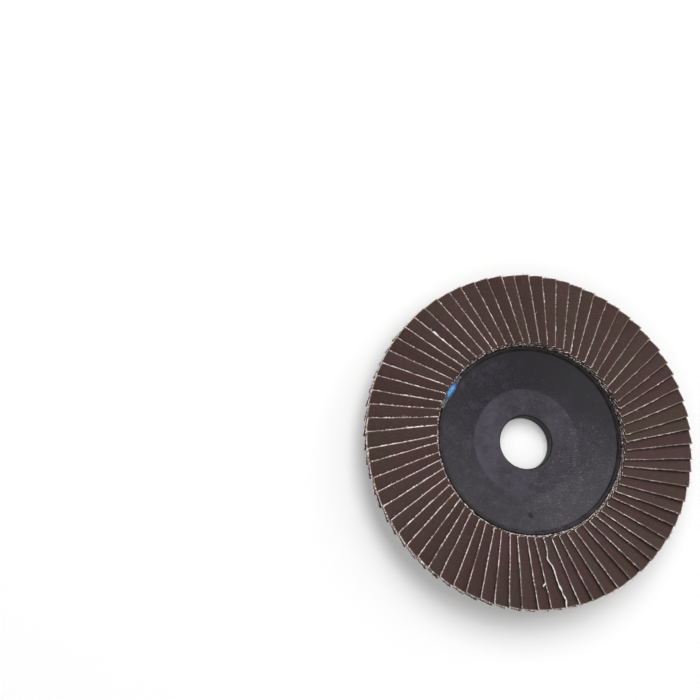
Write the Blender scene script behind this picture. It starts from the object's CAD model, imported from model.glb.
# %% [markdown]
# A flap disc, dressed in Blender
#
# A flap disc is a grinding wheel for sheet metal and welds. Seventy-two strips of
# abrasive cloth stand like overlapping roof tiles round a moulded nylon plate, held by a
# bed of hard resin. The plate and the resin come from CAD and keep their shapes here.
# The strips come from CAD as plain slabs, so this script makes each one again as cut
# cloth: coated on top, woven below, and frayed along every cut.

import random
from math import cos, pi, radians, sin

import bpy
from mathutils import Euler, Matrix, Vector, noise


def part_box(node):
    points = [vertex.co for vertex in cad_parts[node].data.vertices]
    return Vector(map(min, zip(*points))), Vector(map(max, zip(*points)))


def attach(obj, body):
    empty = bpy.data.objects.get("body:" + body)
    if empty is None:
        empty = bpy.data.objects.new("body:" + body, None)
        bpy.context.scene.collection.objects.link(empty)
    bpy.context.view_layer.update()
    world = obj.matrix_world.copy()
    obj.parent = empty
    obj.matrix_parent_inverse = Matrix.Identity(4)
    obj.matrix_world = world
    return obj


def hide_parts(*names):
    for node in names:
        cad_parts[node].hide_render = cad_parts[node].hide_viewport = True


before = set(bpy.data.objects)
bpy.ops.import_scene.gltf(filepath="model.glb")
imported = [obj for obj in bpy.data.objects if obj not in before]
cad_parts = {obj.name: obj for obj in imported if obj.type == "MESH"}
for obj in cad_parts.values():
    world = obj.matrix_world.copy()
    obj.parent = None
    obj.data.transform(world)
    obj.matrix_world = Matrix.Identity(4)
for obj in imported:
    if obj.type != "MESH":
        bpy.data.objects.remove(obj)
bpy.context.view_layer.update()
scene = bpy.context.scene
MM = 0.001


def in_mm(size, digits=2):
    """A size in metres as rounded millimetres, for the prints."""
    return [round(v / MM, digits) for v in size]


# %% [markdown]
# The camera comes first, because every later choice is judged through it. A long lens a
# forearm's length away looks down on the disc from its lower left, so the disc sits at
# the lower right of the frame. The place and the turn are plain numbers: a camera that
# tracks a target would be easier to read, but it can't roll by the few degrees needed.

# %% Camera
camera_place = Vector((-151.07, -74.34, 457.37)) * MM
camera_turn = Euler((radians(13.05), radians(-11.67), radians(-2.69)), "XYZ")
camera_lens = 82.3
camera_film_width = 36.0

camera_data = bpy.data.cameras.new("camera")
camera_data.lens = camera_lens
camera_data.sensor_width = camera_film_width
camera = bpy.data.objects.new("camera", camera_data)
camera.location = camera_place
camera.rotation_euler = camera_turn
scene.collection.objects.link(camera)
scene.camera = camera
print("camera is", round(camera_place.length, 3), "m from the hub")

# %% [markdown]
# Shader maths reads best as arithmetic. The class below wraps one socket of a material's
# node tree, so that `mask * 0.5 + grain` adds the Math nodes for it. Any other node comes
# from its one method, which sets the node up first and then its sockets. A vector has
# three parts, so its sums go through a Vector Math node.

# %% A socket that does arithmetic
class Wire:
    """One socket of a node tree. Arithmetic on it adds Math nodes."""

    def __init__(self, tree, socket=None):
        self.tree = tree
        self.socket = socket

    def node(self, kind, settings, sockets, output=None):
        """Adds a node: its settings first, then the values or links of its sockets."""
        made = self.tree.nodes.new(kind)
        for name, value in settings.items():
            if name == "stops":
                set_stops(made.color_ramp, value)
            else:
                setattr(made, name, value)
        for name, value in sockets.items():
            for place, part in enumerate(value if isinstance(value, list) else [value]):
                target = [s for s in made.inputs if s.name == name and s.enabled][place]
                if isinstance(part, Wire):
                    self.tree.links.new(part.socket, target)
                else:
                    target.default_value = part
        results = [s for s in made.outputs if s.enabled and output in (None, s.name)]
        return Wire(self.tree, results[0])

    def math(self, operation, *terms):
        return self.node("ShaderNodeMath", {"operation": operation}, {"Value": list(terms)})

    def __add__(self, other):
        return self.math("ADD", self, other)

    def __sub__(self, other):
        return self.math("SUBTRACT", self, other)

    def __rsub__(self, other):
        return self.math("SUBTRACT", other, self)

    def __mul__(self, other):
        return self.math("MULTIPLY", self, other)

    __radd__ = __add__
    __rmul__ = __mul__


def vector_math(operation, *terms, output="Vector"):
    """A Vector Math node. output is Value where the answer is one number."""
    settings = {"operation": operation}
    return terms[0].node("ShaderNodeVectorMath", settings, {"Vector": list(terms)}, output)


def set_stops(ramp, stops):
    """Gives a colour ramp its stops, each a place and a colour."""
    while len(ramp.elements) < len(stops):
        ramp.elements.new(1.0)
    for element, (place, colour) in zip(ramp.elements, stops):
        element.position = place
        element.color = colour


# %% [markdown]
# Colours are easiest to judge as screen values from 0 to 255, but a shader wants linear
# light, so one helper turns the first into the second. The others are the few steps that
# every finish below repeats: a noise, a soft threshold and a blend of two colours.

# %% Colour and pattern helpers
def paint(red, green, blue):
    """A screen colour, 0 to 255 a channel, as the linear colour a shader takes."""
    parts = [channel / 255 for channel in (red, green, blue)]
    return (*[p / 12.92 if p < 0.04 else ((p + 0.055) / 1.055) ** 2.4 for p in parts], 1.0)


def start(name):
    """A new material, its shader, and a wire that carries the point in metres."""
    made = bpy.data.materials.new(name)
    made.use_nodes = True
    shader = made.node_tree.nodes["Principled BSDF"]
    place = Wire(made.node_tree).node("ShaderNodeTexCoord", {}, {}, "Object")
    return made, shader, place


def speckle(place, size, detail=2.0, roughness=0.5):
    """Noise whose lumps are about size metres across, from 0 to 1."""
    sockets = {"Vector": place, "Scale": 1 / size, "Detail": detail, "Roughness": roughness}
    return place.node("ShaderNodeTexNoise", {}, sockets, "Fac")


def ease(value, low, high):
    """0 below low, 1 above high, and a smooth step between them."""
    sockets = {"Value": value, "From Min": low, "From Max": high}
    return value.node("ShaderNodeMapRange", {"interpolation_type": "SMOOTHSTEP"}, sockets)


def blend(amount, first, second):
    """first turning into second as amount goes from 0 to 1."""
    settings = {"data_type": "RGBA", "blend_type": "MIX"}
    return amount.node("ShaderNodeMix", settings, {"Factor": amount, "A": first, "B": second})


def colour_ramp(value, stops):
    """The colour that a colour ramp gives a value."""
    return value.node("ShaderNodeValToRGB", {"stops": stops}, {"Fac": value}, "Color")


def reading(place, name):
    """A number that the mesh carries at each of its points."""
    return place.node("ShaderNodeAttribute", {"attribute_name": name}, {}, "Fac")


def relief(place, height, distance, strength=1.0):
    """A bump whose highest point stands distance metres proud."""
    sockets = {"Height": height, "Distance": distance, "Strength": strength}
    return place.node("ShaderNodeBump", {}, sockets)


def feed(shader, name, value):
    """Links a wire to a socket of the shader."""
    value.tree.links.new(value.socket, shader.inputs[name])


# %% [markdown]
# The disc lies on a plain pale sheet, as a part does on a packing bench. The sheet glows
# wherever a camera, a reflection or clear glass sees it: a little beside the disc, where
# its own finish has to keep the shadow, and fully an arm's length away, where the lamps
# no longer reach. That gives a white background without putting more light on the disc.

# %% Floor
floor_reach = 3.0
floor_white = paint(252, 252, 252)
floor_roughness = 0.9
near_glow = 0.15
glow_from = 0.1
glow_full = 0.5


def seen_by_eye(wire):
    """1 where the camera looks, straight or by way of a reflection or clear glass."""
    camera_ray, glossy, clear = [
        wire.node("ShaderNodeLightPath", {}, {}, f"Is {kind} Ray")
        for kind in ("Camera", "Glossy", "Transmission")
    ]
    return wire.math("MAXIMUM", wire.math("MAXIMUM", camera_ray, glossy), clear)


def make_floor():
    mesh = bpy.data.meshes.new("floor")
    sides = ((-1, -1), (1, -1), (1, 1), (-1, 1))
    corners = [(x * floor_reach, y * floor_reach, 0) for x, y in sides]
    mesh.from_pydata(corners, [], [(0, 1, 2, 3)])
    floor = bpy.data.objects.new("floor", mesh)
    scene.collection.objects.link(floor)
    made, shader, place = start("pale_floor")
    shader.inputs["Base Color"].default_value = floor_white
    shader.inputs["Roughness"].default_value = floor_roughness
    glow = place.node("ShaderNodeEmission", {}, {"Color": (1, 1, 1, 1), "Strength": 1.0})
    body = Wire(made.node_tree, shader.outputs["BSDF"])
    away = vector_math("LENGTH", place, output="Value")
    share = seen_by_eye(place) * (ease(away, glow_from, glow_full) * (1 - near_glow) + near_glow)
    mixed = place.node("ShaderNodeMixShader", {}, {"Fac": share, "Shader": [body, glow]})
    exit_node = made.node_tree.nodes["Material Output"]
    made.node_tree.links.new(mixed.socket, exit_node.inputs["Surface"])
    mesh.materials.append(made)
    return floor


floor = make_floor()
print("floor is", [round(v, 1) for v in floor.dimensions], "m")

# %% [markdown]
# Four lamps light the disc. The key lamp stands high beyond the far edge, so each strip
# throws a thin shadow towards the camera and the near wall of the dish shines. The top
# lamp softens those shadows, the fill lamp at the near left thins them beside the edges
# that face it, and the side lamp lifts the left wall of the dish. The world adds an even
# light from all round. It is dim for light that falls on the disc, and white for an eye
# or a reflection, so that the black nylon mirrors a white room.

# %% Lamps and world
def make_lamp(name, place, size, power):
    """A square lamp that looks at the hub."""
    data = bpy.data.lights.new(name, "AREA")
    data.size = size
    data.energy = power
    lamp = bpy.data.objects.new(name, data)
    lamp.location = place
    lamp.rotation_euler = (-Vector(place)).to_track_quat("-Z", "Y").to_euler()
    scene.collection.objects.link(lamp)
    return lamp


key_lamp = make_lamp("key_lamp", place=(0.03, 0.68, 0.94), size=0.7, power=7.0)
top_lamp = make_lamp("top_lamp", place=(0.15, 0.15, 1.03), size=0.5, power=2.6)
side_lamp = make_lamp("side_lamp", place=(0.78, 0.4, 0.6), size=0.7, power=2.4)
fill_lamp = make_lamp("fill_lamp", place=(-0.45, -0.5, 0.8), size=0.9, power=3.0)

world_light = 0.19
world = bpy.data.worlds.new("pale_room")
world.use_nodes = True
scene.world = world
backdrop = world.node_tree.nodes["Background"]
backdrop.inputs["Color"].default_value = (1, 1, 1, 1)
room = seen_by_eye(Wire(world.node_tree)) * (1 - world_light) + world_light
world.node_tree.links.new(room.socket, backdrop.inputs["Strength"])
scene.view_settings.view_transform = "Standard"
print("lamps:", key_lamp.name, top_lamp.name, side_lamp.name, fill_lamp.name)

# %% [markdown]
# The backing plate is moulded in black glass-filled nylon. Such a moulding is never one
# black: the flat hub is chalkier where the tool was polished less, the dish is mottled by
# the flow of the melt, and handling leaves it grey and scuffed on some sides and dark on
# another. The finish is worked out from the point's place, its height and its distance
# from the axis, so it needs no picture and follows the CAD shape. First come the angles
# that the marks lie at, counted round the axis, and the patterns that everything else is
# mixed from: clouds of a centimetre, smoke of a few millimetres, and grain.

# %% Where the plate's marks lie
bore_edge = 0.0081
hub_edge = 0.0162
lip_start = 0.0271
lip_foot = 0.0082
dusty_angle = 40.0
rubbed_angle = -35.0
handled_angle = 200.0
sooty_angle = 52.0
chalky_angle = 150.0
nick_place = (-0.0009, -0.0223, 0.0066)


def towards(place, angle, start=-0.006, full=0.014):
    """From 0 to 1 across the disc, so that a finish can lie on one side only."""
    aim = (cos(radians(angle)), sin(radians(angle)), 0)
    return ease(vector_math("DOT_PRODUCT", place, aim, output="Value"), start, full)


def plate_patterns(place):
    """What the plate's finish is mixed from, each a number that varies over it."""
    flat = vector_math("MULTIPLY", place, (1, 1, 0))
    radius = vector_math("LENGTH", flat, output="Value")
    cloud = speckle(place, 0.011, 6.0, 0.62)
    smoke = speckle(place, 0.0032, 5.0, 0.65)
    grain = speckle(place, 0.0005, 3.0, 0.7)
    hub = 1 - ease(radius + (smoke - 0.5) * 0.0012, hub_edge - 0.0005, hub_edge + 0.0003)
    return radius, cloud, smoke, grain, hub


print("marks of the plate lie", in_mm((bore_edge, hub_edge, lip_start)), "mm from the axis")

# %% [markdown]
# Each step of the finish lays one more colour over the last, from the broad marks to the
# small. The moulded black comes first, with its chalky hub, its smoke and its grain. The
# marks of use follow: scuffs all one way, the side that stayed dark, and one nick.

# %% Moulded black and marks of use
melt_black, flow_black = paint(15, 12, 18), paint(22, 18, 27)
chalk_dark, chalk_pale = paint(30, 27, 34), paint(66, 60, 72)
smoke_dark, smoke_pale = paint(8, 7, 10), paint(58, 53, 63)
grain_dark, speck_pale = paint(8, 8, 10), paint(138, 134, 138)
handled_grey, scuff_grey = paint(52, 48, 56), paint(104, 98, 108)
soot_black, nick_black = paint(8, 5, 11), paint(5, 5, 6)


def moulded_black(place, cloud, smoke, grain, hub):
    """The plate as it came out of the mould."""
    colour = blend(ease(cloud, 0.3, 0.7), melt_black, flow_black)
    chalk = blend(ease(cloud, 0.62, 0.38), chalk_dark, chalk_pale)
    colour = blend(hub * (towards(place, chalky_angle) * 0.2 + 0.68), colour, chalk)
    colour = blend(towards(place, rubbed_angle) * 0.3, colour, handled_grey)
    colour = blend(towards(place, handled_angle, 0.006, 0.022) * 0.2, colour, handled_grey)
    colour = blend(ease(smoke, 0.48, 0.7) * 0.5, colour, smoke_pale)
    colour = blend(ease(smoke, 0.5, 0.3) * 0.55, colour, smoke_dark)
    colour = blend(ease(grain, 0.4, 0.78) * 0.4, colour, chalk_pale)
    colour = blend(ease(grain, 0.48, 0.25) * 0.4, colour, grain_dark)
    specks = speckle(place, 0.0007, 1.0)
    return blend(ease(specks, 0.75, 0.84) * 0.35, colour, speck_pale)


def scuffed(place, colour, cloud, smoke, hub):
    """Fine scratches all one way, and the side that stayed dark."""
    long_way = vector_math("MULTIPLY", place, (0.4, 1, 1))
    scratch = ease(speckle(long_way, 0.0004, 3.0, 0.75), 0.56, 0.66)
    scuff = scratch * ease(smoke + cloud, 0.85, 1.15)
    colour = blend(scuff * (towards(place, rubbed_angle) * 0.5 + 0.3), colour, scuff_grey)
    sooty = towards(place, sooty_angle, 0.009, 0.022) * (1 - hub)
    return blend(sooty * 0.8, colour, soot_black)


def nick_mask(place, grain):
    """Up to 0.7 inside the nick, with a ragged edge, and 0 elsewhere."""
    offset = vector_math("SUBTRACT", place, nick_place)
    far = vector_math("LENGTH", offset, output="Value")
    return 0.7 - ease(far + (grain - 0.5) * 0.0036, 0.0003, 0.0009) * 0.7


print("the nick lies at", in_mm(nick_place), "mm")

# %% [markdown]
# The ring lip has a life of its own. Grit dust lies on it along one side and resin has
# soaked it on the other, and its inner wall and its outer edge are dark where the dust
# can't stay. The bore was rubbed black by the flange. The shader then takes the colour,
# and a roughness and a relief from the same patterns, so that a mark is also felt.

# %% Lip, bore and the finished nylon
lip_wall_black, lip_outside_brown = paint(14, 13, 14), paint(20, 18, 17)
resin_soaked, grit_dust = paint(62, 58, 56), paint(66, 58, 52)
bore_black = paint(8, 8, 9)
nylon_specular = 0.26


def lip_mask(place, radius):
    """1 on the ring lip, and 0 elsewhere."""
    height = place.node("ShaderNodeSeparateXYZ", {}, {"Vector": place}, "Z")
    on_top = ease(height, lip_foot, lip_foot + 0.0004)
    return ease(radius, lip_start - 0.0001, lip_start) * on_top


def dressed_lip(place, colour, lip, radius, cloud, smoke, grain):
    """Dust on one side of the lip and resin on the other."""
    side = towards(place, dusty_angle)
    wall = lip * ease(radius, lip_start + 0.0005, lip_start + 0.0003)
    colour = blend(wall * side * 0.9, colour, lip_wall_black)
    soaked = lip * (1 - side) * ease(grain + smoke, 0.7, 1.15)
    colour = blend(soaked * 0.5, colour, resin_soaked)
    dust = lip * side * ease(cloud + smoke, 0.8, 1.2)
    colour = blend(dust * 0.4, colour, grit_dust)
    outside = lip * side * ease(radius, lip_start + 0.0006, lip_start + 0.0009)
    return blend(outside * 0.8, colour, lip_outside_brown)


def make_nylon():
    made, shader, place = start("black_nylon")
    radius, cloud, smoke, grain, hub = plate_patterns(place)
    lip = lip_mask(place, radius)
    nick = nick_mask(place, grain)
    colour = moulded_black(place, cloud, smoke, grain, hub)
    colour = scuffed(place, colour, cloud, smoke, hub)
    colour = blend(nick * 0.8, colour, nick_black)
    colour = dressed_lip(place, colour, lip, radius, cloud, smoke, grain)
    bore = 1 - ease(radius, bore_edge, bore_edge + 0.0003)
    colour = blend(bore * 0.95, colour, bore_black)
    shader.inputs["Specular IOR Level"].default_value = nylon_specular
    feed(shader, "Base Color", colour)
    feed(shader, "Roughness", 0.42 + cloud * 0.12 + hub * 0.1 + lip * 0.35 + nick * 0.5)
    feed(shader, "Normal", relief(place, grain * 0.6 + smoke * 0.8 - nick * 3.0, 0.00006, 0.6))
    return made


nylon = make_nylon()
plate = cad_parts["backing_plate"]
plate.data.materials.clear()
plate.data.materials.append(nylon)
print("plate polygons:", len(plate.data.polygons))

# %% [markdown]
# The strips are bedded in hard brown resin, poured while they stood in a jig. It shows
# only from the side and from below, between the strips and the rim. It is glossy where
# it set against air and dull where grit fell in, so the roughness carries the variation.

# %% Cured resin of the bed
resin_dark, resin_amber, resin_crumb = paint(52, 38, 30), paint(86, 66, 50), paint(120, 104, 90)


def make_resin():
    made, shader, place = start("cured_resin")
    swirl = speckle(place, 0.004, 5.0, 0.6)
    crumbs = speckle(place, 0.0005, 2.0)
    colour = blend(ease(swirl, 0.3, 0.7), resin_dark, resin_amber)
    colour = blend(ease(crumbs, 0.6, 0.72) * 0.7, colour, resin_crumb)
    feed(shader, "Base Color", colour)
    feed(shader, "Roughness", 0.25 + ease(crumbs, 0.4, 0.7) * 0.45)
    feed(shader, "Normal", relief(place, swirl + crumbs * 0.4, 0.0002, 0.7))
    return made


resin = make_resin()
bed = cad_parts["adhesive_bed"]
bed.data.materials.clear()
bed.data.materials.append(resin)
print("bed polygons:", len(bed.data.polygons))

# %% [markdown]
# Three finishes dress a strip. The coated face is brown aluminium-oxide grit in resin:
# matt, grainy at a fifth of a millimetre, tinted slightly differently from one strip and
# one batch of glue to the next, and rubbed paler beside a cut. Below is the woven cloth,
# stained by the resin. A cut shows the raw cotton core, from grey to cream. Each point of
# the mesh carries readings for this: how far it is from a cut, how pale its fibre is,
# the shade of its strip and, for the weave, its place along the cloth and across it.

# %% Coated grit
grit_dark, grit_pale = paint(68, 51, 49), paint(78, 60, 58)
grit_olive, grit_plum, grit_glue = paint(71, 60, 51), paint(80, 56, 58), paint(60, 46, 42)
grain_high, grain_low = paint(100, 82, 76), paint(34, 26, 24)
grit_sparkle, grit_rubbed = paint(150, 132, 124), paint(168, 148, 138)
grit_specular = 0.1


def make_grit():
    made, shader, place = start("abrasive_grit")
    shade = reading(place, "shade")
    from_cut = reading(place, "from_cut")
    patch = speckle(place, 0.009, 3.0, 0.6)
    mottle = speckle(place, 0.0012, 4.0, 0.65)
    grain = speckle(place, 0.00022, 2.0, 0.7)
    sparkle = speckle(place, 0.00035, 0.0)
    colour = blend(ease(shade, 0.0, 1.0), grit_dark, grit_pale)
    colour = blend(ease(patch + shade * 0.2, 0.56, 0.76) * 0.8, colour, grit_olive)
    colour = blend(ease(patch, 0.46, 0.28) * 0.7, colour, grit_plum)
    colour = blend(ease(mottle, 0.35, 0.7) * 0.4, colour, grit_glue)
    colour = blend(ease(grain, 0.45, 0.78) * 0.35, colour, grain_high)
    colour = blend(ease(grain, 0.5, 0.25) * 0.5, colour, grain_low)
    colour = blend(ease(sparkle, 0.8, 0.88) * 0.4, colour, grit_sparkle)
    rub = ease(from_cut + mottle * 0.35, 0.42, 0.16)
    colour = blend(rub * 0.75, colour, grit_rubbed)
    shader.inputs["Specular IOR Level"].default_value = grit_specular
    feed(shader, "Base Color", colour)
    feed(shader, "Roughness", 0.72 + grain * 0.25)
    feed(shader, "Normal", relief(place, grain + mottle * 0.5, 0.00009, 0.8))
    return made


grit = make_grit()
print("grit nodes:", len(grit.node_tree.nodes))

# %% [markdown]
# The woven back is two sine waves multiplied, which gives the over and under of a plain
# weave at its real spacing. The cut is a colour ramp read by one number, because raw
# cotton runs from soaked brown to clean cream without any other hue between.

# %% Woven cloth and cut fibre
warp_spacing = 0.42
weft_spacing = 0.5
yarn_dark, yarn_pale, yarn_stained = paint(84, 62, 48), paint(128, 102, 82), paint(70, 50, 40)
cut_stops = [
    (0.0, paint(38, 32, 26)),
    (0.18, paint(84, 74, 60)),
    (0.36, paint(134, 116, 108)),
    (0.65, paint(212, 196, 188)),
    (1.0, paint(250, 240, 236)),
]


def make_cloth():
    made, shader, place = start("backing_cloth")
    shade = reading(place, "shade")
    along = reading(place, "along")
    across = reading(place, "across")
    warp = place.math("SINE", along * (2 * pi / warp_spacing))
    weft = place.math("SINE", across * (2 * pi / weft_spacing))
    weave = warp * weft * 0.5 + 0.5
    stain = speckle(place, 0.005, 4.0, 0.6)
    colour = blend(ease(weave, 0.1, 0.9), yarn_dark, yarn_pale)
    colour = blend(ease(stain + shade * 0.2, 0.45, 0.75) * 0.6, colour, yarn_stained)
    feed(shader, "Base Color", colour)
    feed(shader, "Roughness", 0.7 + stain * 0.2)
    feed(shader, "Normal", relief(place, weave, 0.00008, 0.8))
    return made


def make_cut():
    made, shader, place = start("cut_fibre")
    pale = reading(place, "pale")
    fuzz = speckle(place, 0.00035, 3.0, 0.7)
    tone = pale + (fuzz - 0.5) * 1.2
    feed(shader, "Base Color", colour_ramp(tone, cut_stops))
    feed(shader, "Roughness", 0.75 + fuzz * 0.2)
    feed(shader, "Normal", relief(place, fuzz, 0.00006, 0.7))
    return made


finishes = [grit, make_cloth(), make_cut()]
GRIT, CLOTH, CUT = range(3)
print("strip finishes:", [finish.name for finish in finishes])

# %% [markdown]
# Everything on a strip is gathered first as plain lists and becomes a mesh at the end.
# The lists also hold the numbers that the finishes read. A thread, which is a thin tube
# that tapers to a point at both ends, is closed, so nothing is left open or stray.

# %% Gathering a piece
class Work:
    """The points, faces and finishes of one piece, in millimetres."""

    def __init__(self):
        self.points = []
        self.faces = []
        self.finish = []
        self.readings = {"pale": [], "from_cut": [], "along": [], "across": []}

    def add(self, points, faces, finish, pale, from_cut):
        """Adds a shell of points and faces. finish is one for each face."""
        first = len(self.points)
        self.points += points
        self.faces += [tuple(first + corner for corner in face) for face in faces]
        self.finish += finish
        self.readings["pale"] += pale
        self.readings["from_cut"] += from_cut
        self.readings["along"] += [point.x for point in points]
        self.readings["across"] += [point.y for point in points]

    def thread(self, path, widths, pale, sides=3):
        """A closed tube along path. widths holds its radius at each point."""
        points = [path[0]]
        upright = Vector((0.25, 0.35, 0.9)).normalized()
        for place in range(1, len(path) - 1):
            heading = (path[place + 1] - path[place - 1]).normalized()
            sideways = heading.cross(upright).normalized()
            over = sideways.cross(heading)
            for side in range(sides):
                turn = 2 * pi * side / sides
                around = sideways * cos(turn) + over * sin(turn)
                points.append(path[place] + around * widths[place])
        points.append(path[-1])
        rings = len(path) - 2
        last = len(points) - 1
        faces = []
        for side in range(sides):
            following = (side + 1) % sides
            faces.append((0, 1 + following, 1 + side))
            for ring in range(rings - 1):
                low, high = 1 + ring * sides, 1 + (ring + 1) * sides
                faces.append((low + side, low + following, high + following, high + side))
            end = 1 + (rings - 1) * sides
            faces.append((end + side, end + following, last))
        tones = [pale[0]] + [tone for tone in pale[1:-1] for _ in range(sides)] + [pale[-1]]
        self.add(points, faces, [CUT] * len(faces), tones, [0.0] * len(points))


# %% [markdown]
# A real strip was sheared from a roll, so its long edges wander by a tenth of a
# millimetre, its ends differ in length, and it doesn't lie quite true. The sizes below
# are those of the CAD slab. Each strip takes its own small errors from a seeded random
# source. It slides only in its own plane, which keeps it clear of its neighbours.

# %% One strip's own errors
strip_count = 72
strip_length = 21.33
strip_width = 13.7
strip_thickness = 0.6
strip_pitch = 5.0
strip_tilt = 15.46
strip_radius = 39.37
strip_height = 8.916
torn_strip = 57
strip_seed = 700
slide_most = 0.3
reach_most = 0.1
skew_most = 0.2
shade_spread = 0.28
pale_side = 200.0
pale_least = 0.43
pale_by_wear = 0.35
pale_spread = 0.17


def worn_side(index):
    """From 1 on the side of the disc whose edges are palest to 0 on the far side."""
    return 0.5 + 0.5 * cos(radians(index * strip_pitch - pale_side))


def strip_errors(index):
    """How strip number index differs from a true one."""
    rng = random.Random(strip_seed + index)
    worn = worn_side(index)
    return {
        "slide": rng.uniform(-slide_most, slide_most),
        "reach": rng.uniform(-reach_most, reach_most),
        "skew": rng.uniform(-skew_most, skew_most),
        "shade": min(1.0, max(0.0, rng.gauss(0.5, shade_spread))),
        "pale": pale_least + pale_by_wear * worn + rng.uniform(-pale_spread, pale_spread),
        "rng": rng,
    }


def strip_matrix(index, errors):
    """Takes a strip from its own millimetres to its place on the disc, in metres."""
    place = Matrix.Translation((strip_radius, 0, strip_height))
    tilt = Matrix.Rotation(radians(-strip_tilt), 4, "X")
    slide = Matrix.Translation((errors["reach"], errors["slide"], 0))
    skew = Matrix.Rotation(radians(errors["skew"]), 4, "Z")
    turn = Matrix.Rotation(radians(index * strip_pitch), 4, "Z")
    return Matrix.Scale(MM, 4) @ turn @ place @ tilt @ slide @ skew


print("strip 1 lies at", [round(v, 4) for v in strip_matrix(0, strip_errors(0)).translation], "m")

# %% [markdown]
# Only one long edge of a strip is seen from end to end: the raised one, which stands on
# the strip before it. Its line is a slow wander plus a finer one. One strip near the
# front was torn, not cut: its edge steps out in a notch and swings back further on, so
# it has its own table of steps along its length.

# %% The wandering edge
slow_wander = 0.12
fine_wander = 0.06
ripple_least = 0.02
ripple_gain = 0.28
torn_steps = [
    (0.0, 0.0), (0.12, 0.1), (0.2, -0.2), (0.28, -0.95), (0.33, -0.75), (0.4, 0.0), (0.48, 0.15),
    (0.55, 0.05), (0.66, 0.1), (0.74, 0.4), (0.81, 0.5), (0.89, 0.85), (0.94, 0.55), (1.0, 0.1),
]


def step_at(share, steps):
    """The height of a table of steps at a share of its length."""
    for (low, first), (high, second) in zip(steps, steps[1:]):
        if share <= high:
            part = (share - low) / (high - low)
            return first + (second - first) * part
    return steps[-1][1]


def wander(index, along):
    """How far the raised edge strays outward (negative) at a place along the strip."""
    slow = noise.noise(Vector((along * 0.14, index * 3.7, 0.0))) * slow_wander
    fine = noise.noise(Vector((along * 1.1, index * 5.1, 4.0))) * fine_wander
    torn = step_at(along / strip_length + 0.5, torn_steps) if index == torn_strip else 0.0
    return slow + fine + torn


def droop(index, along, across):
    """How far the strip lifts from flat. Its free outer end lifts most."""
    share = max(0.0, along / strip_length + 0.5)
    ripple = noise.noise(Vector((along * 0.12, across * 0.16, index * 2.9)))
    return ripple * (ripple_least + ripple_gain * share**2)


print("the torn edge strays by", [round(wander(torn_strip, x), 2) for x in (-4, -2, 8)], "mm")

# %% [markdown]
# The slab itself is a grid folded into a closed box: a coated face, a cloth face, and
# walls between them whose upper third is grit and whose lower part is raw cloth. The
# lines of the grid crowd towards the raised edge, where the eye looks for detail. The
# outer corner of that edge is the first thing to be knocked, so it is worn back by up to
# half a millimetre, and the inner end is a little ragged.

# %% The slab of a strip
grit_depth = 0.2
corner_wear = 0.42
corner_reach = 3.4
stray_reach = 3.0
ragged_most = 0.16
end_pale = {"inner": 0.06, "outer": 0.0}
along_steps = 44
across_lines = [
    0.0, 0.12, 0.3, 0.6, 0.9, 1.3, 1.7, 2.2, 2.8,
    3.4, 4.2, 5.0, 6.0, 7.5, 9.0, 10.5, 12.0, strip_width,
]


def slab_point(index, along, across, depth):
    """A point of the slab. across runs from the raised edge, depth from the coated face."""
    stray = wander(index, along) * max(0.0, 1 - across / stray_reach)
    lift = droop(index, along, across)
    reach = along / (strip_length / 2)
    tail = max(0.0, -reach - 0.9) * 10
    ragged = noise.noise(Vector((across * 1.9, index * 6.7, 1.0))) * ragged_most * tail
    rounding = 0.75 + noise.noise(Vector((index * 3.3, 2.0, 5.0)))
    near_corner = max(0.0, 1 - across / corner_reach) ** 1.4 * max(0.0, reach - 0.8) * 5
    clipped = corner_wear * rounding * near_corner
    height = strip_thickness / 2 - depth + lift
    return Vector((along + ragged - clipped, across - strip_width / 2 + stray, height))


def make_slab(work, index):
    depths = [0.0, grit_depth, strip_thickness]
    columns = [strip_length * (i / along_steps - 0.5) for i in range(along_steps + 1)]
    tones = {0: end_pale["inner"], along_steps: end_pale["outer"]}
    wall_pale = 0.18 + 0.32 * worn_side(index)
    numbers = {}
    points, from_cut, pale = [], [], []
    for i, along in enumerate(columns):
        for j, across in enumerate(across_lines):
            rim = i in (0, along_steps) or j in (0, len(across_lines) - 1)
            for k, depth in enumerate(depths):
                if k == 1 and not rim:
                    continue
                numbers[i, j, k] = len(points)
                points.append(slab_point(index, along, across, depth))
                from_cut.append(min(across, strip_length / 2 - along))
                pale.append(tones.get(i, wall_pale if j == 0 else 0.3))
    faces, finish = slab_faces(numbers, len(columns), len(across_lines))
    work.add(points, faces, finish, pale, from_cut)


def slab_faces(numbers, columns, lines):
    """The quads of the slab and which finish each takes."""
    faces, finish = [], []

    def quad(a, b, c, d, surface):
        faces.append((numbers[a], numbers[b], numbers[c], numbers[d]))
        finish.append(surface)

    for i in range(columns - 1):
        for j in range(lines - 1):
            quad((i, j, 0), (i + 1, j, 0), (i + 1, j + 1, 0), (i, j + 1, 0), GRIT)
            quad((i, j, 2), (i, j + 1, 2), (i + 1, j + 1, 2), (i + 1, j, 2), CLOTH)
        for k, surface in ((0, GRIT), (1, CUT)):
            quad((i, 0, k), (i, 0, k + 1), (i + 1, 0, k + 1), (i + 1, 0, k), surface)
            end = lines - 1
            quad((i, end, k), (i + 1, end, k), (i + 1, end, k + 1), (i, end, k + 1), surface)
    for j in range(lines - 1):
        for k, surface in ((0, GRIT), (1, CUT)):
            quad((0, j, k), (0, j + 1, k), (0, j + 1, k + 1), (0, j, k + 1), surface)
            end = columns - 1
            quad((end, j, k), (end, j, k + 1), (end, j + 1, k + 1), (end, j + 1, k), surface)
    return faces, finish


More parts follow.
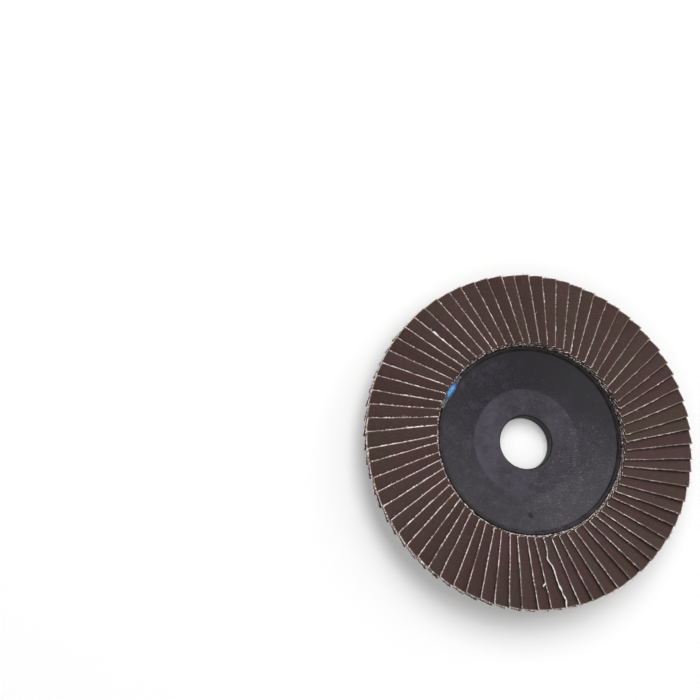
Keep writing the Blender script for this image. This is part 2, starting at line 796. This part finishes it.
# %% [markdown]
# A cut through coated cloth isn't clean. The blade drags a burr of cotton up over the
# edge, thick here and missing there. The burr is a lumpy thread laid along each edge,
# and its thickness and paleness come from smooth noise, so a bright stretch fades into
# a dull one. Across the cloth the blade parts one yarn after another, so the burr of the
# two ends is a row of beads: each end of a yarn is pale and the resin between is dark.
# Edges on one side of the disc have been handled more, and are paler.

# %% The burr along a cut
lower_edge_seen = 9.0


def edge_lines():
    """The cut edges of a strip: their two ends, as (along, across), and the way out."""
    half = strip_length / 2
    return {
        "raised": ((-half, 0.0), (half, 0.0), Vector((0, -1, 0))),
        "outer": ((half, 0.0), (half, strip_width), Vector((1, 0, 0))),
        "inner": ((-half, 0.0), (-half, strip_width), Vector((-1, 0, 0))),
        "lower": ((half - lower_edge_seen, strip_width), (half, strip_width), Vector((0, 1, 0))),
    }


# A few stretches of edge were pulled up into a thick bright cord: from, to and how much.
thick_stretches = {28: (0.42, 0.7, 0.7), torn_strip: (0.2, 1.3, 0.9), 37: (0.0, 0.5, 0.3)}
burr_sizes = {"raised": 0.135, "outer": 0.1, "inner": 0.14, "lower": 0.12}
burr_proud = {"raised": 0.35, "outer": 0.35, "inner": 0.0, "lower": 0.35}
burr_depths = {"raised": 0.1, "outer": 0.14, "inner": 0.2, "lower": 0.35}
burr_spacing = 0.115
bead_pitch = {"raised": 2.0, "outer": 1.8, "inner": 1.5, "lower": 2.0}
bead_size = {"raised": 1.0, "outer": 1.9, "inner": 1.8, "lower": 0.8}
bead_contrast = {"raised": 0.75, "outer": 2.8, "inner": 2.5, "lower": 0.5}
burr_least = 0.25
cord_girth = 0.13
swing_most = 0.5
inner_pale, inner_soaked, soaked_shift = 0.45, 0.34, 12
outer_pale, outer_shift = 0.12, -1


def edge_point(index, line, share, depth):
    """A point on a cut edge, share of the way along it."""
    (a0, c0), (a1, c1) = line[:2]
    along, across = a0 + (a1 - a0) * share, c0 + (c1 - c0) * share
    return slab_point(index, along, across, depth)


def bright_at(index, share):
    """How much an edge is pulled up at a place, from 0 to 1."""
    low, high, most = thick_stretches.get(index, (0.0, 1.0, 0.0))
    middle, half = (low + high) / 2, (high - low) / 2
    return most * max(0.0, 1 - (abs(share - middle) / half) ** 3)


def edge_pale(name, index, share, errors):
    """How pale the fibre is at a place on an edge, from 0 to 1."""
    worn = worn_side(index)
    swing = noise.noise(Vector((share * 3.1, index * 1.7, 8.0))) * swing_most
    if name == "inner":
        soaked = inner_soaked * worn_side(index + soaked_shift) ** 3
        return inner_pale + errors["pale"] * 0.2 + swing * 0.8 - soaked
    if name == "outer":
        handled = 1.2 * worn_side(index + outer_shift) - 0.1
        return outer_pale + errors["pale"] * handled + swing * 0.6
    dash = noise.noise(Vector((share * 10, index * 2.3, 1.0))) * (0.6 - 0.3 * worn)
    fade = (share - 0.35) * (0.55 - 0.4 * worn)
    return errors["pale"] + swing + dash - fade + bright_at(index, share) * (name == "raised")


print("the burr of strip 1 starts", round(edge_pale("raised", 0, 0.0, strip_errors(0)), 2), "pale")

# %% [markdown]
# The thread of a burr is laid a ninth of a millimetre at a time. Its girth follows the
# yarns of the cloth, the beads, a slow swell, and the cord where an edge was pulled up.
# It hangs a little off the edge, because the blade pushed it outward.

# %% Laying the burr
def make_burr(work, index, name, line, errors):
    length = (Vector(line[1]) - Vector(line[0])).length
    count = int(length / burr_spacing)
    worn = worn_side(index)
    girth = burr_sizes[name] * (0.62 + 0.38 * worn)
    contrast = bead_contrast[name] * ((1.6 - worn) if name == "inner" else 1.0)
    path, widths, pale = [], [], []
    for k in range(count + 1):
        share = k / count
        run = k * burr_spacing
        yarn = sin(2 * pi * run / warp_spacing + index)
        lump = noise.noise(Vector((run * bead_pitch[name], index * 9.1, 2.0)))
        swollen = noise.noise(Vector((k * 0.05, index * 4.3, 6.0)))
        fullness = 0.85 + yarn * 0.15 + lump * bead_size[name] + swollen * 0.7
        size = girth * max(burr_least, fullness)
        clump = max(0.2, 1 + 3.2 * noise.noise(Vector((share * 12, index, 9.0))))
        size += cord_girth * clump * bright_at(index, share) * (name == "raised")
        stray = Vector((0, 0, noise.noise(Vector((k * 0.6, index, 3.0))) * 0.07))
        proud = line[2] * size * burr_proud[name]
        centre = edge_point(index, line, share, burr_depths[name]) + proud + stray
        path.append(centre)
        widths.append(size)
        pale.append(edge_pale(name, index, share, errors) + yarn * 0.08 + lump * contrast)
    work.thread(path, widths, pale, 5)


# %% [markdown]
# Loose fibres stand off the burr. Each is a short thread that leaves the edge and bends
# away. They are few and fine, because a crowd of them would turn the edge into fur.

# %% Loose fibres
fibre_counts = {"raised": 26, "outer": 24, "inner": 60, "lower": 6}
fibre_reach = (0.25, 0.8)
fibre_width = (0.025, 0.05)
inner_tints = (-0.3, -0.1, 0.2, 0.5, 0.7)


def make_fibre(work, origin, aim, reach, width, pale, rng):
    """One fibre that leaves origin along aim and bends."""
    curl = Vector([rng.uniform(-0.5, 0.5) for _ in range(3)])
    shares = (0.0, 0.25, 0.5, 0.75, 1.0)
    path = [origin + (aim * s + curl * s * s) * reach for s in shares]
    work.thread(path, [width] * len(path), [pale] * len(path))


def make_fibres(work, index, name, line, errors):
    rng = errors["rng"]
    stand_off = 0.4 if name == "inner" else 1.0
    for _ in range(fibre_counts[name]):
        share = rng.random()
        origin = edge_point(index, line, share, burr_depths[name])
        along = (Vector(line[1]) - Vector(line[0])).normalized().to_3d() * rng.choice((-1, 1))
        aim = along * rng.uniform(0.3, 1.0) + line[2] * rng.uniform(0.1, 0.7) * stand_off
        aim += Vector((0, 0, rng.uniform(0.0, 0.45)))
        reach = rng.uniform(*fibre_reach)
        pale = edge_pale(name, index, share, errors) + rng.uniform(-0.1, 0.25)
        width = rng.uniform(*fibre_width)
        if name == "inner":
            reach *= 0.6
            width *= 1.4
            pale += rng.choice(inner_tints) * (1.0 - 0.5 * worn_side(index))
        make_fibre(work, origin, aim, reach, width, pale, rng)


# %% [markdown]
# The last yarns at both ends of a raised edge come loose as a small tuft. Three threads
# are long enough to notice one by one: they were pulled out of their edge and lie over
# the next strip. Each has its strip, its place along the raised edge, the way it points,
# its length and its thickness.

# %% Threads pulled out of an edge
pulled_threads = {
    56: (0.63, (0.12, -1.05, 0.16), 1.8, 0.28),
    28: (0.69, (0.4, -0.5, 0.3), 0.7, 0.08),
    68: (0.93, (0.2, -0.8, 0.3), 0.8, 0.08),
}


def make_knots(work, index, lines, errors):
    """Tufts at the two ends of the raised edge, where the last yarns of the cloth came loose."""
    rng = errors["rng"]
    for share, lean in ((0.0, -1), (1.0, 1)):
        origin = edge_point(index, lines["raised"], share, 0.12)
        aim = Vector((lean * rng.uniform(0.0, 0.3), rng.uniform(-0.2, 0.6), rng.uniform(0.0, 0.3)))
        size = rng.uniform(0.06, 0.16) * (1.3 - 0.3 * share)
        loose = (0.5 - 0.8 * share) * (1 - worn_side(index))
        pale = errors["pale"] + rng.uniform(0.0, 0.5) + loose
        make_fibre(work, origin, aim, 0.5, size, pale, rng)


def pull_thread(work, index, lines, errors):
    if index not in pulled_threads:
        return
    share, aim, reach, width = pulled_threads[index]
    origin = edge_point(index, lines["raised"], share, 0.05)
    rng, aim = errors["rng"], Vector(aim)
    make_fibre(work, origin, aim, reach, width, 1.1, rng)
    branch = aim + Vector((-0.5, 0.1, 0))
    make_fibre(work, origin, branch, reach * 0.6, width * 0.8, 1.0, rng)


print("pulled threads on strips", [index + 1 for index in pulled_threads])

# %% [markdown]
# The gathered lists become one mesh, which takes its three finishes and its readings.
# Smooth shading on the cut faces hides the facets of the threads. The grit and the cloth
# keep flat shading, so the slab keeps its crisp corners.

# %% From lists to a piece
def to_mesh(work, name, matrix, shade):
    mesh = bpy.data.meshes.new(name)
    mesh.from_pydata([matrix @ point for point in work.points], [], work.faces)
    for finish in finishes:
        mesh.materials.append(finish)
    mesh.polygons.foreach_set("material_index", work.finish)
    mesh.polygons.foreach_set("use_smooth", [surface == CUT for surface in work.finish])
    work.readings["shade"] = [shade] * len(work.points)
    for reading_name, values in work.readings.items():
        mesh.attributes.new(reading_name, "FLOAT", "POINT").data.foreach_set("value", values)
    piece = bpy.data.objects.new(name, mesh)
    scene.collection.objects.link(piece)
    return piece


def make_strip(index):
    errors = strip_errors(index)
    work = Work()
    make_slab(work, index)
    lines = edge_lines()
    for name, line in lines.items():
        make_burr(work, index, name, line, errors)
        make_fibres(work, index, name, line, errors)
    make_knots(work, index, lines, errors)
    pull_thread(work, index, lines, errors)
    name = f"flap_{index + 1:02d}"
    piece = to_mesh(work, name, strip_matrix(index, errors), errors["shade"])
    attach(piece, "root")
    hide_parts(f"flap_pair_{index // 2 + 1:02d}")
    return piece


strips = [make_strip(index) for index in range(strip_count)]
print("strips:", len(strips), "faces each:", len(strips[0].data.polygons))

# %% [markdown]
# Somebody's brush left a smear of blue marking lacquer where the strips meet the lip. It
# is a film that drapes over whatever is below it, so its height comes from rays cast
# straight down at the finished disc. The film bridges the narrow gap beside the lip, as
# a thick lacquer does, and its edge is as ragged as the ends that it stuck to. Each
# point also carries how thick the lacquer lies there, which sets its colour: bright blue
# where it pooled, near black where it is thin, and grey where only a trace is left.

# %% Blue lacquer
smear_from = 137.0
smear_to = 160.0
smear_middle = 0.46
smear_inner = 26.9
smear_outer = 29.1
smear_thickness = 0.1
smear_half = 0.36
smear_tail = 0.12
smear_columns = 90
smear_rows = 14
smear_drop = 0.2
ray_height = 20.0
lacquer_scratch = paint(12, 30, 46)
lacquer_stops = [
    (0.0, paint(96, 106, 100)),
    (0.18, paint(48, 62, 66)),
    (0.36, paint(12, 30, 62)),
    (0.54, paint(22, 62, 116)),
    (0.72, paint(58, 122, 180)),
    (0.92, paint(98, 170, 216)),
]


def make_lacquer():
    made, shader, place = start("blue_lacquer")
    cover = reading(place, "cover")
    pool = speckle(place, 0.0014, 4.0, 0.6)
    scratch = speckle(place, 0.0004, 3.0, 0.7)
    colour = colour_ramp((cover + (pool - 0.5) * 0.9) * 0.82, lacquer_stops)
    colour = blend(ease(scratch, 0.4, 0.28) * 0.5, colour, lacquer_scratch)
    feed(shader, "Base Color", colour)
    feed(shader, "Roughness", 0.35 + scratch * 0.3)
    feed(shader, "Normal", relief(place, scratch + pool, 0.0001, 0.8))
    return made


def surface_below(graph, radius, angle):
    """Height in millimetres of whatever lies at a radius and an angle."""
    spot = Vector((radius * cos(angle), radius * sin(angle), ray_height)) * MM
    hit, place, *_ = scene.ray_cast(graph, spot, Vector((0, 0, -1)))
    return place.z / MM if hit else 0.0


def swell(share):
    """How full the smear is at a share of its length, from 0 at the tails to 1."""
    return max(0.0, 1 - (abs(share - smear_middle) / smear_half) ** 2)


def smear_reach(share, row):
    """Radius of a row of the film, which is widest in the middle and thin at both tails."""
    thin = 1 - swell(share)
    inner = smear_inner + thin * 1.0 - noise.noise(Vector((share * 18, 1.0, 0.0))) * 0.45
    outer = smear_outer + (share - smear_middle) * 0.8 - thin * 0.55
    outer += noise.noise(Vector((share * 26, 5.0, 0.0))) * 0.4
    return inner + max(outer - inner, smear_tail) * row / (smear_rows - 1)


print("the smear spans", smear_to - smear_from, "degrees")

# %% [markdown]
# The film is a grid of points, each set down on what lies below it. A second grid under
# the first closes it, with a rim round both, so that it is a solid sheet and not a skin.

# %% The smear, draped and closed
def make_smear():
    bpy.context.view_layer.update()
    graph = bpy.context.evaluated_depsgraph_get()
    lip_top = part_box("backing_plate")[1].z / MM
    grid = []
    for column in range(smear_columns):
        share = column / (smear_columns - 1)
        angle = radians(smear_from + (smear_to - smear_from) * share)
        radii = [smear_reach(share, row) for row in range(smear_rows)]
        heights = [max(lip_top - smear_drop, surface_below(graph, r, angle)) for r in radii]
        places = zip(radii, heights)
        grid.append([Vector((r * cos(angle), r * sin(angle), h)) for r, h in places])
    return film(grid)


def film(grid):
    """A closed film over a grid of points: a lumpy top, a bottom and a rim."""
    columns, rows = len(grid), len(grid[0])
    points, faces = [], []
    for side in (1, -1):
        for column in grid:
            for row, point in enumerate(column):
                rim = row in (0, rows - 1) or column in (grid[0], grid[-1])
                lump = 0.6 + 0.8 * noise.noise(point * 2.2)
                depth = smear_thickness * (0.1 if rim else lump if side > 0 else 0.3)
                points.append(point + Vector((0, 0, side * depth)))
    under = columns * rows
    for i in range(columns - 1):
        for j in range(rows - 1):
            a, b = i * rows + j, (i + 1) * rows + j
            faces.append((a, a + 1, b + 1, b))
            faces.append((under + a, under + b, under + b + 1, under + a + 1))
    border = list(range(rows)) + [i * rows + rows - 1 for i in range(1, columns)]
    border += [(columns - 1) * rows + j for j in range(rows - 2, -1, -1)]
    border += [i * rows for i in range(columns - 2, 0, -1)]
    for first, second in zip(border, border[1:] + border[:1]):
        faces.append((first, under + first, under + second, second))
    mesh = bpy.data.meshes.new("blue_smear")
    mesh.from_pydata([point * MM for point in points], [], faces)
    mesh.polygons.foreach_set("use_smooth", [True] * len(mesh.polygons))
    along = [swell(i / (columns - 1)) for i in range(columns)]
    across = [0.4 + 0.6 * sin(pi * j / (rows - 1)) for j in range(rows)]
    cover = [full * part for full in along for part in across]
    mesh.attributes.new("cover", "FLOAT", "POINT").data.foreach_set("value", cover * 2)
    mesh.materials.append(make_lacquer())
    piece = bpy.data.objects.new("blue_smear", mesh)
    scene.collection.objects.link(piece)
    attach(piece, "root")
    return piece


smear = make_smear()
print("smear faces:", len(smear.data.polygons), "size in mm:", in_mm(smear.dimensions, 1))
